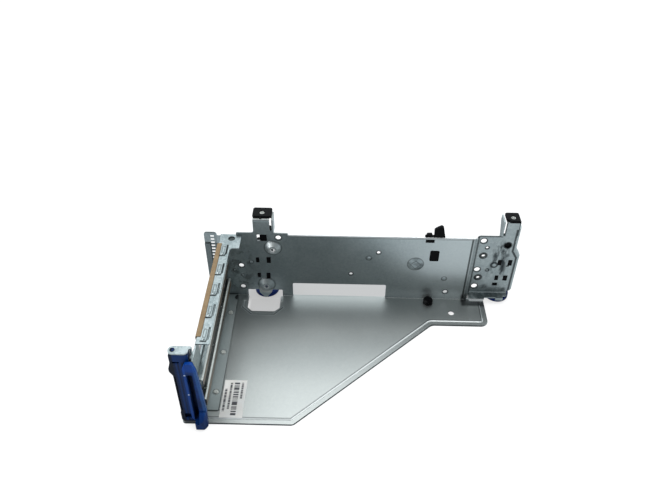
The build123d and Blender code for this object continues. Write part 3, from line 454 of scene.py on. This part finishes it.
def plate_painted_lines(f, colour):
    """Painted shade and painted highlights along the dish and the rim, and the plate's cut edge darker,
    partly dull raw steel and partly painted shade.
    """
    plate = f.z.inside(-0.7, 0.15, 0.05) * f.y.before(-7.5, -6.5)
    # Painted shade and a painted highlight along the dish.
    dish = f.nearest(f.x, f.y, DISH)
    colour = f.mix(dish.before(0.25, 0.75) * plate * 0.55, colour, GRIME_AND_SHADE)
    colour = f.mix(dish.inside(0.9, 1.4, 0.2) * plate * 0.5, colour, tone(226, 232, 232))
    # Painted shade and a painted highlight along the rim.
    rim = f.nearest(f.x, f.y, RIM)
    lines = rim.inside(4.8, 5.5, 0.2) * 0.6 + rim.before(0.3, 0.6) * 0.8
    colour = f.mix(lines * f.facing[2].ramp(0.1, 0.4), colour, GRIME_AND_SHADE)
    colour = f.mix(rim.inside(3.9, 4.6, 0.15) * plate * 0.75, colour, tone(250, 252, 252))
    # The cut edge darker: dull raw steel, and painted shade.
    side = abs(f.facing[2]).before(0.2, 0.6) * f.z.before(-0.6, -0.3) * f.y.before(-2.0, -1.0)
    return f.mix(side * 0.7, colour, tone(86, 88, 96))


def shell_finish():
    """The shell's sheet: glossy on the wall, duller on the plate and rougher on the bosses."""
    f = Finish("shell_zinc")
    colour, rough, height = zinc_sheet(f, tone(200, 209, 210), tone(168, 179, 183), 0.17)
    flat = f.facing[2].ramp(0.5, 0.9)
    wall = upright(f, 0.0)
    # Painted highlight filling the upper boss's bore, with the metal share lowered there so that it shows.
    bore_highlight = f.away(f.x, f.z, BOSSES[0]).before(BOSS_HOLE_R - 0.1, BOSS_HOLE_R + 0.2)
    bore_highlight = bore_highlight * f.y.inside(BOSS_TIP, SHEET, 0.1)
    colour = plate_painted_shade(f, colour, flat)
    colour = wall_painted_light(f, colour, wall)
    colour = boss_painted_light(f, colour, bore_highlight)
    colour = wall_marks_and_painted_light(f, colour, wall)
    colour = emboss_painted_light(f, colour, wall)
    colour = plate_painted_lines(f, colour)
    upper, lower = [f.away(f.x, f.z, boss).before(boss[2] - 0.4, boss[2]) for boss in BOSSES]
    standing = 0.3 - f.z.ramp(4.0, 12.0) * 0.24 + upper.most(lower) * 0.14
    rough = rough + flat * 0.17 + over_plate(f) * standing
    return f.show(colour, rough, 1.0 - bore_highlight * 0.8, height, 0.035, 0.0002)


def end_finish():
    """The end bracket's sheet: painted shade in rings, along its borders and bend lines, on the ledge and on
    the leg's sides, smudges beside the hook slots and a painted highlight on the lip.
    """
    f = Finish("end_zinc")
    colour, rough, height = zinc_sheet(f, tone(222, 229, 229), tone(176, 186, 188), 0.26)
    face = upright(f, END_FACE_Y)
    # Painted shade round holes and dimples.
    colour = f.mix(f.rings(f.x, f.z, END_RINGS, 1.1) * face * 0.85, colour, GRIME_AND_SHADE)
    # Painted shade along the left border and the top, and a painted reflection of dark along the bend.
    high = f.z.ramp(END_SHELF_Z + 0.8, END_SHELF_Z + 1.6)
    border_shade = f.x.inside(END_LEFT, END_LEFT + 1.8, 0.3) * high
    border_shade = border_shade + f.x.before(END_LEFT - 0.2, END_LEFT + 0.2) * 0.3
    border_shade = border_shade + f.z.inside(END_TOP - 0.7, END_TOP + 0.1, 0.15) * f.x.inside(201.0, LEG_LEFT, 0.5)
    colour = f.mix(border_shade.least(1.0) * 0.8, colour, GRIME_AND_SHADE)
    bend_shade = f.facing[0].inside(0.08, 0.42, 0.05) * f.x.ramp(END_BEND - 1.0, END_BEND + 1.0)
    colour = f.mix(bend_shade * 0.85, colour, tone(48, 52, 54))
    streaks = f.noise(110.0, 4.0, 0.65, f.stretched(1.6, 1.0, 0.5)).ramp(0.40, 0.58)
    reach = f.x.inside(215.0, 227.0, 2.5) * f.z.inside(24.0, 60.0, 5.0)
    reach = reach.most(f.x.inside(209.0, 232.0, 3.0) * f.z.inside(7.5, 12.0, 2.0) * 0.4)
    colour = f.mix(reach * face * streaks * 0.85, colour, SMUDGE)
    core = f.x.inside(222.6, 226.4, 2.0) * f.z.inside(27.0, 53.0, 5.0) * (0.35 + streaks * 0.4)
    for x, z, r in END_SMUDGES:
        core = core.most(f.away(f.x, f.z, (x, z)).before(0.3 * r, r) * 0.6)
    colour = f.mix(core * face, colour, SMUDGE)
    # Painted shade on the ledge's top.
    ledge_shade = f.facing[2].ramp(0.7, 0.95) * f.z.before(END_SHELF_Z + 0.3, END_SHELF_Z + 0.8)
    ledge_shade = ledge_shade * f.y.before(3.0, 4.0) * (0.35 + streaks * 0.35)
    colour = f.mix(ledge_shade, colour, tone(66, 74, 76))
    # Painted shade on the leg's sides.
    side_shade = f.x.inside(LEG_LEFT, LEG_LEFT + 1.7, 0.2) + f.x.inside(LEG_RIGHT - 1.3, LEG_RIGHT, 0.2)
    side_shade = (side_shade + f.facing[0].before(-0.8, -0.4) * 0.6).least(1.0)
    colour = f.mix(side_shade * f.z.ramp(END_TOP + 0.2, END_TOP + 0.8) * 0.7, colour, GRIME_AND_SHADE)
    # Painted highlight on the lip, with the metal share lowered so that it shows.
    lip = f.y.before(END_FRONT + 0.2, END_FRONT + 0.6) * abs(f.facing[2]).before(0.5, 0.8)
    colour = f.mix(lip * 0.9, colour, WHITE)
    pale = f.noise(160.0, 3.0, 0.6, f.stretched(1.0, 1.0, 0.6)).ramp(0.58, 0.7)
    colour = f.mix(pale * 0.6, colour, tone(214, 220, 220))
    rough = rough + 0.06 + streaks * 0.06
    return f.show(colour, rough, 1.0 - lip * 0.85, height + streaks * 0.3, 0.06, 0.0002)


def shelf_painted_light(f, colour, lip, fold_highlight, brown_reflection):
    """The panel's shelves: painted shade behind their folds, painted highlights on the folds, and a painted
    brown reflection in shade down their lips.
    """
    low, high = SHELVES_Z
    # Painted shade on the lower shelf behind its fold.
    shade_level = f.facing[2].ramp(0.6, 0.9) * f.z.before(low + 4.0, low + 8.0) * f.z.ramp(4.0, 6.0)
    colour = f.mix(shade_level * f.x.before(1.1, 1.4) * 0.9, colour, tone(44, 42, 38))
    # Painted shade below the upper lip.
    colour = f.mix(lip * f.z.inside(high - 8.3, high - 5.3, 0.3) * 0.95, colour, tone(24, 24, 22))
    # Painted highlight on the folds.
    colour = f.mix(fold_highlight * 0.85, colour, tone(244, 246, 240))
    # Painted brown reflection, in shade, down the lips.
    blotches = f.noise(45.0, 3.0, 0.6, f.stretched(1.0, 0.35, 1.0)).ramp(0.35, 0.65)
    brown = f.mix(blotches, tone(70, 54, 38), tone(118, 90, 58))
    return f.mix(brown_reflection * 0.95, colour, brown)


def base_tone_and_painted_shade(f, colour, base):
    """The panel's flange on the plate: even grey, with painted shade at its edge and in rings round its
    rivets.
    """
    colour = f.mix(base * 0.85, colour, tone(160, 167, 166))
    # Painted shade at the flange's edge and round its rivets.
    dark = f.x.ramp(BASE_RIGHT, BASE_RIGHT + 0.2).most(f.rings(f.x, f.y, PANEL_RIVETS, 0.9) * 0.8)
    return f.mix(base * dark * 0.7, colour, tone(58, 62, 62))


def finger_painted_shade(f, colour):
    """Painted shade in the spring fingers' cuts and along the outlines of their ridges. Gives the colour and
    the height of their ridges.
    """
    along = ((f.y - FINGER_TIP + WRAP) * (1.0 / FINGER_PITCH)).part() * FINGER_PITCH - WRAP
    flange = f.z.ramp(PANEL_TOP - 0.5, PANEL_TOP - 0.1) * f.y.inside(*FLANGE_Y, 0.5)
    # Painted shade in the cuts.
    cut = f.x.inside(*SIDE_CUT_X, 0.2) * along.inside(*SIDE_CUT_ALONG, 0.3)
    cut = cut + f.x.inside(*TIP_CUT_X, 0.2) * along.inside(*TIP_CUT_ALONG, 0.2)
    colour = f.mix(cut.least(1.0) * flange * 0.85, colour, tone(52, 56, 56))
    # Painted shade along the ridges' outlines.
    ridge = f.x.inside(*RIDGE_X, 0.3) * along.inside(*RIDGE_ALONG, 0.3) * flange
    edge = f.x.inside(*OUTLINE_X, 0.15) * along.inside(*OUTLINE_ALONG, 0.15) * flange - ridge
    return f.mix(edge.most(0.0) * 0.7, colour, tone(66, 70, 70)), ridge


def panel_finish():
    """Bright zinc on the slot panel, with painted shade in its corners, more of it below the top flange."""
    f = Finish("panel_zinc")
    spangle = f.spangle(700.0)
    clouds = f.noise(60.0, 3.0, 0.5)
    colour = f.mix((spangle * 0.4 + clouds * 0.6).ramp(0.2, 0.8), tone(158, 169, 171), tone(198, 207, 208))
    base = f.z.before(1.2, 2.0)
    lip = f.x.inside(SHELF_RIGHT - 0.3, SHELF_RIGHT + 0.3, 0.1)
    low, high = SHELVES_Z
    folds = f.z.inside(high - 0.5, high + 0.5, 0.1) + f.z.inside(low - 0.5, low + 0.5, 0.1)
    # Masks for the painted highlight on the folds and the painted brown reflection down the lips.
    fold_highlight = f.x.inside(SHELF_RIGHT - 1.3, SHELF_RIGHT + 0.3, 0.1) * folds
    brown_reflection = lip * (f.z.inside(high - 5.2, high - 0.6, 0.1) + f.z.inside(low - 7.0, low - 0.6, 0.1))
    colour = base_tone_and_painted_shade(f, colour, base)
    colour = shelf_painted_light(f, colour, lip, fold_highlight, brown_reflection)
    # Painted shade in corners, stronger below the top flange.
    dirt_and_shade = f.nook(3.5).ramp(0.05, 0.8) * (0.5 + f.z.before(PANEL_TOP - 3.0, PANEL_TOP - 1.5) * 0.35)
    colour = f.mix(dirt_and_shade * (1.0 - base * 0.8), colour, tone(60, 54, 46))
    colour, ridge = finger_painted_shade(f, colour)
    # Painted shade round the tab's hole.
    hole_shade = f.away(f.x, f.y, TAB_HOLE).before(TAB_HOLE[2] + 0.4, TAB_HOLE[2] + 1.0)
    colour = f.mix(hole_shade * 0.9, colour, tone(36, 38, 38))
    rough = 0.22 + spangle * 0.07 + clouds * 0.10 + base * 0.2
    metal = 1.0 - fold_highlight * 0.6 - brown_reflection * 0.7 - base * 0.2
    height = ridge + spangle * 0.02 + f.noise(500.0, 2.0) * 0.015
    return f.show(colour, rough, metal, height, 0.6, 0.0003)


# Steel, cloth and mouldings
def rivet_finish():
    """Dull steel of the bracket's hollow rivets, with turned rings."""
    f = Finish("dull_steel")
    clouds = f.noise(300.0, 3.0, 0.6)
    colour = f.mix(clouds.ramp(0.3, 0.7), tone(72, 76, 76), tone(104, 108, 108))
    rings = (f.z * 9.0).wave() * 0.5 + 0.5
    return f.show(colour, 0.2 + clouds * 0.2, 1.0, rings * 0.4 + clouds * 0.6, 0.08, 0.0001)


def shaft_finish():
    """Bright steel of the lock shafts, with painted shade in a ring for the groove round the middle of their
    ends.
    """
    f = Finish("shaft_steel")
    clouds = f.noise(300.0, 3.0, 0.6)
    colour = f.mix(clouds.ramp(0.3, 0.7), tone(196, 198, 192), tone(240, 240, 234))
    left, right = [f.away(f.x, f.y, shaft) for shaft in SHAFTS]
    top = f.facing[2].ramp(0.7, 0.9)
    # Painted shade in a ring round the middle of each end.
    colour = f.mix(left.least(right).inside(0.6, 1.2, 0.15) * top * 0.85, colour, tone(26, 26, 26))
    return f.show(colour, 0.25 + clouds * 0.2, 1.0 - top * 0.5, clouds, 0.08, 0.0001)


def gasket_finish():
    """Tan conductive cloth over foam, with fine threads across the strip and dirt along its edges."""
    f = Finish("gasket_cloth", {"Specular IOR Level": 0.3})
    threads = (f.y * 9.0).wave() * 0.5 + 0.5
    warp = ((f.x + f.z) * 14.0).wave() * 0.5 + 0.5
    clouds = f.noise(90.0, 4.0, 0.65)
    colour = f.mix((threads * 0.25 + clouds * 0.75).ramp(0.25, 0.75), tone(138, 112, 82), tone(176, 152, 120))
    dirt_and_shade = f.noise(28.0, 3.0, 0.6, f.stretched(1.0, 0.5, 1.0)).ramp(0.50, 0.70)
    edge = 1.0 - f.x.inside(-3.0, -0.1, 0.3)
    colour = f.mix((dirt_and_shade * 0.4 + edge * 0.4).least(1.0), colour, tone(96, 76, 58))
    return f.show(colour, 0.75 + threads * 0.1, 0.05, threads * 0.6 + warp * 0.4, 0.35, 0.0001)


def blue_moulding(name, deep, fair):
    """Blue moulded plastic with fine texture, handling shine, pale rubbed patches and painted shade in its
    nooks.
    """
    f = Finish(name, {"Specular IOR Level": 0.18})
    grain = f.noise(1500.0, 2.0, 0.5)
    clouds = f.noise(55.0, 4.0, 0.6)
    colour = f.mix(clouds.ramp(0.3, 0.75), deep, fair)
    rubbed = f.noise(130.0, 4.0, 0.65).ramp(0.64, 0.78)
    colour = f.mix(rubbed * 0.3, colour, tone(40, 90, 176))
    # Painted shade in nooks.
    colour = f.mix(f.nook(3.0).ramp(0.1, 0.8) * 0.85, colour, tone(5, 10, 30))
    return f, colour, 0.34 + clouds * 0.16, grain


def knob_finish():
    """The knobs' blue, the same all over."""
    f, colour, rough, grain = blue_moulding("knob_blue", tone(0, 26, 84), tone(4, 46, 124))
    return f.show(colour, rough, 0.0, grain, 0.12, 0.0001)


def latch_finish():
    """The latch's blue: painted shade on the door behind the rail and on its left side, paler bands on the
    door's face, painted highlights along the rail's sides and top, and painted glints.
    """
    f, colour, rough, grain = blue_moulding("latch_blue", tone(0, 34, 84), tone(2, 62, 138))
    rail = f.y.before(RAIL_BACK - 0.3, RAIL_BACK + 0.3)
    # Painted shade on the door behind the rail.
    colour = f.mix((1.0 - rail) * 0.6, colour, tone(0, 18, 44))
    face = f.y.inside(DOOR_FACE - 0.6, DOOR_FACE + 0.5, 0.1)
    bands = f.x.inside(-13.2, -12.0, 0.3) + f.x.inside(-11.0, -9.4, 0.3) + f.z.inside(62.5, 70.0, 1.5)
    colour = f.mix(bands.least(1.0) * face * 0.5, colour, tone(2, 62, 132))
    # Painted shade on the door's left side.
    colour = f.mix(f.x.before(-15.2, -14.0) * (1.0 - rail) * 0.8, colour, tone(0, 6, 16))
    # Painted highlights along the rail's ridge, its right side and its top.
    colour = f.mix(f.x.inside(-8.6, -6.8, 0.3) * rail * 0.5, colour, tone(24, 84, 180))
    slope = f.x + f.z * 0.05
    colour = f.mix(slope.ramp(0.6, 1.8) * f.z.ramp(12.0, 18.0) * rail * 0.4, colour, tone(70, 124, 196))
    colour = f.mix(f.z.inside(57.0, 66.0, 2.0) * rail * 0.5, colour, tone(4, 82, 190))
    # Painted glints.
    colour = f.mix(f.rings(f.x, f.z, LATCH_GLINTS, 0.3) * rail * 0.85, colour, tone(206, 220, 240))
    return f.show(colour, rough, 0.0, grain, 0.12, 0.0001)


def black_finish():
    """Black moulded plastic, satin, with a little dust."""
    f = Finish("black_moulding", {"Specular IOR Level": 0.12})
    grain = f.noise(1700.0, 2.0, 0.5)
    clouds = f.noise(70.0, 4.0, 0.6)
    colour = f.mix(clouds.ramp(0.35, 0.8), tone(2, 2, 4), tone(14, 14, 17))
    return f.show(colour, 0.42 + clouds * 0.2, 0.0, grain, 0.12, 0.0001)


# Label: a column of bars, and columns of dashes as (left, right, low end, high end, pattern)
BAR_COLUMN = (0.46, 0.69)
BAR_ENDS = (0.06, 0.93)
DASH_COLUMNS = ((0.78, 0.87, 0.50, 0.93, 5.0), (0.28, 0.37, 0.22, 0.92, 17.0),
                (0.07, 0.17, 0.16, 0.76, 29.0))


def label_finish():
    """Off-white paper. Places on it run from 0 to 1 across and along the label."""
    f = Finish("label_paper", {"Specular IOR Level": 0.4})
    u = (f.x - LABEL_LOW[0]) * (1.0 / (LABEL_HIGH[0] - LABEL_LOW[0]))
    v = (f.y - LABEL_LOW[1]) * (1.0 / (LABEL_HIGH[1] - LABEL_LOW[1]))
    low, high = BAR_ENDS
    strip = f.node("ShaderNodeCombineXYZ", {}, {"X": v * 34.0})
    bars = f.noise(1.0, 0.0, 0.5, strip).ramp(0.46, 0.50)
    bars = bars.most(v.inside(low, low + 0.04, 0.004)).most(v.inside(high - 0.03, high, 0.004))
    ink = bars * u.inside(*BAR_COLUMN, 0.01) * v.inside(low, high, 0.004)
    for left, right, low, high, pattern in DASH_COLUMNS:
        words = f.node("ShaderNodeCombineXYZ", {}, {"X": v * 60.0, "Y": pattern})
        dashes = f.noise(1.0, 0.0, 0.5, words).ramp(0.40, 0.46)
        ink = ink + dashes * u.inside(left, right, 0.02) * v.inside(low, high, 0.01)
    paper = f.mix(f.noise(120.0, 3.0).ramp(0.3, 0.7), tone(250, 245, 240), tone(255, 253, 250))
    colour = f.mix(ink.least(1.0) * 0.92, paper, tone(30, 30, 44))
    return f.show(colour, 0.5, 0.0, f.noise(900.0, 2.0), 0.06, 0.0001)


end_zinc = end_finish()
shell_zinc = shell_finish()
panel_zinc = panel_finish()
rivet_steel = rivet_finish()
shaft_steel = shaft_finish()
cloth = gasket_finish()
knob_blue = knob_finish()
latch_blue = latch_finish()
black = black_finish()
FINISH_OF = {
    "cage_shell": shell_zinc,
    "slot_panel": panel_zinc,
    "panel_rivet_back": shaft_steel,
    "panel_rivet_mid": shaft_steel,
    "panel_rivet_front": shaft_steel,
    "gasket_strip": cloth,
    "end_bracket": end_zinc,
    "bracket_rivet_upper": rivet_steel,
    "bracket_rivet_lower": rivet_steel,
    "left_lock_knob": knob_blue,
    "left_lock_shaft": shaft_steel,
    "left_lock_guide": black,
    "left_lock_cap": black,
    "right_lock_knob": knob_blue,
    "right_lock_shaft": shaft_steel,
    "right_lock_guide": black,
    "right_lock_cap": black,
    "latch_bracket": panel_zinc,
    "latch_door": latch_blue,
    "cable_clip": black,
    "corner_peg": black,
    "plate_label": label_finish(),
}
for name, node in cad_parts.items():
    node.data.materials.clear()
    node.data.materials.append(FINISH_OF[name])


# New pieces
def surface(name, points, material, body):
    """Mesh over a grid of points of shape (rows, columns, 3), joined row to row and round each row."""
    rows, columns = points.shape[:2]
    index = np.arange(rows * columns).reshape(rows, columns)
    index = np.concatenate([index, index[:, :1]], axis=1)
    quads = np.stack([index[:-1, :-1], index[:-1, 1:], index[1:, 1:], index[1:, :-1]], axis=-1)
    mesh = bpy.data.meshes.new(name)
    mesh.from_pydata(points.reshape(-1, 3).tolist(), [], quads.reshape(-1, 4).tolist())
    mesh.validate()
    mesh.polygons.foreach_set("use_smooth", np.ones(len(mesh.polygons), dtype=bool))
    mesh.materials.append(material)
    piece = bpy.data.objects.new(name, mesh)
    bpy.context.collection.objects.link(piece)
    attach(piece, body)
    return piece


DOME_RINGS = 7
DOME_SPOKES = 28
DOME_SUNK = 0.02


def dome(name, centre, radius, height, along, material):
    """Low round bump on a sheet: a disc of rings whose height falls as a cosine to its border.

    along is the way the bump stands out: "y" towards the viewer from a wall, or "z" up from a flat sheet.
    """
    t = np.linspace(0.0, 1.0, DOME_RINGS)[:, None]
    turn = np.linspace(0.0, 2.0 * pi, DOME_SPOKES, endpoint=False)[None, :]
    a = radius * t * np.cos(turn)
    b = radius * t * np.sin(turn)
    rise = height * np.cos(t * pi / 2) * np.ones_like(turn) - DOME_SUNK
    if along == "y":
        points = np.stack([centre[0] - a, centre[1] - rise, centre[2] + b], axis=-1)
    else:
        points = np.stack([centre[0] + a, centre[1] + b, centre[2] + rise], axis=-1)
    return surface(name, (points + CORNER) * MM, material, "cage")


def add_bumps():
    """Pressed bumps of the wall and the end bracket, and the contact bump near each spring finger's tip."""
    for k, (x, z, r) in enumerate(WALL_DIMPLES):
        dome(f"wall_dimple_{k}", (x, 0.0, z), r, 0.45, "y", shell_zinc)
    for k, (x, z, r) in enumerate(END_DIMPLES):
        dome(f"end_dimple_{k}", (x, END_FACE_Y, z), r, 0.4, "y", end_zinc)
    for k in range(FINGER_COUNT):
        contact = (CONTACT_X, FINGER_TIP + CONTACT_BACK - k * FINGER_PITCH, PANEL_TOP)
        dome(f"finger_contact_{k}", contact, 1.2, 0.8, "z", panel_zinc)


# Floor, world and lamps
FLOOR_HALF = 3.0
FLOOR_GLOW = 1.3
FLOOR_SHARE = 0.75
WORLD_LOW = 0.22
WORLD_HIGH = 1.02
WORLD_TINT = (0.89, 0.97, 1.0, 1.0)

# Soft shades on the floor, as x low, x high, x soft, y low, y high, y soft and level:
# behind the wall, beside the panel, at the end bracket's corner and at the left foot
FLOOR_SHADES = ((-5.0, 195.0, 12.0, -12.0, 40.0, 14.0, 0.7), (-18.5, 0.0, 3.0, -120.0, -5.0, 6.0, 1.1),
                (196.0, 206.0, 3.0, -6.0, 12.0, 3.0, 1.1), (16.0, 46.0, 3.0, -24.0, 0.0, 4.0, 0.68))


def add_floor():
    """Pale floor, near white to the camera in the open, with a soft shade close to the part."""
    f = Finish("floor_white", {"Roughness": 0.9, "Specular IOR Level": 0.1})
    path = f.node("ShaderNodeLightPath", {}, {}, "Is Camera Ray")
    shade = f.nook(30.0).ramp(0.2, 0.9) * 0.4
    for x_low, x_high, x_soft, y_low, y_high, y_soft, shade_level in FLOOR_SHADES:
        shade = shade.most(f.x.inside(x_low, x_high, x_soft) * f.y.inside(y_low, y_high, y_soft) * shade_level)
    full = (FLOOR_GLOW, FLOOR_GLOW, FLOOR_GLOW, 1.0)
    seen = f.mix(shade * (1.0 / FLOOR_GLOW), full, (0.0, 0.0, 0.0, 1.0))
    glow = f.node("ShaderNodeEmission", {}, {"Color": seen, "Strength": 1.0})
    # Painted shade in the floor's own colour, darker where the part closes it in.
    under = f.mix(f.nook(25.0), (0.66, 0.68, 0.69, 1.0), (0.25, 0.26, 0.27, 1.0))
    f.feed(f.shader.inputs["Base Color"], under)
    plain = Wire(f, f.shader.outputs[0])
    both = f.node("ShaderNodeMixShader", {}, {0: path * FLOOR_SHARE, 1: plain, 2: glow})
    f.feed(f.tree.nodes["Material Output"].inputs["Surface"], both)
    side = np.linspace(-FLOOR_HALF, FLOOR_HALF, 2)
    x, y = np.meshgrid(side, side)
    corners = np.stack([x, y, np.zeros_like(x)], axis=-1).reshape(-1, 3)
    mesh = bpy.data.meshes.new("floor")
    mesh.from_pydata(corners.tolist(), [], [(0, 1, 3, 2)])
    mesh.materials.append(f.material)
    floor = bpy.data.objects.new("floor", mesh)
    bpy.context.collection.objects.link(floor)


def add_world():
    """White to the camera. As light, bright over the back and the top, and darker from the viewer's side."""
    world = bpy.data.worlds.new("studio")
    bpy.context.scene.world = world
    world.use_nodes = True
    world.node_tree.nodes.clear()
    sky = Nodes(world.node_tree)
    back = sky.split(sky.node("ShaderNodeTexCoord", {}, {}, "Generated"))[1]
    strength = back.ramp(-0.55, 0.45) * (WORLD_HIGH - WORLD_LOW) + WORLD_LOW
    light = sky.node("ShaderNodeBackground", {}, {"Color": WORLD_TINT, "Strength": strength})
    seen = sky.node("ShaderNodeBackground", {}, {"Color": WHITE})
    path = sky.node("ShaderNodeLightPath", {}, {}, "Is Camera Ray")
    both = sky.node("ShaderNodeMixShader", {}, {0: path, 1: light, 2: seen})
    sky.node("ShaderNodeOutputWorld", {}, {0: both}, None)


def add_lamp(name, where, towards, wide, high, power):
    """Rectangular area lamp at a place, aimed at a point."""
    data = bpy.data.lights.new(name, "AREA")
    data.shape = "RECTANGLE"
    data.size = wide
    data.size_y = high
    data.energy = power
    lamp = bpy.data.objects.new(name, data)
    lamp.location = where
    aim = Vector(towards) - Vector(where)
    lamp.rotation_mode = "QUATERNION"
    lamp.rotation_quaternion = aim.to_track_quat("-Z", "Y")
    bpy.context.collection.objects.link(lamp)


add_bumps()
add_camera()
bpy.context.scene.view_settings.view_transform = "Standard"
add_floor()
add_world()
add_lamp("over_lamp", (0.05, 0.25, 0.9), (0.0, 0.0, 0.0), 0.8, 0.5, 1.9)
add_lamp("side_lamp", (-0.7, -0.25, 0.55), (0.0, 0.0, 0.03), 0.4, 0.4, 2.7)
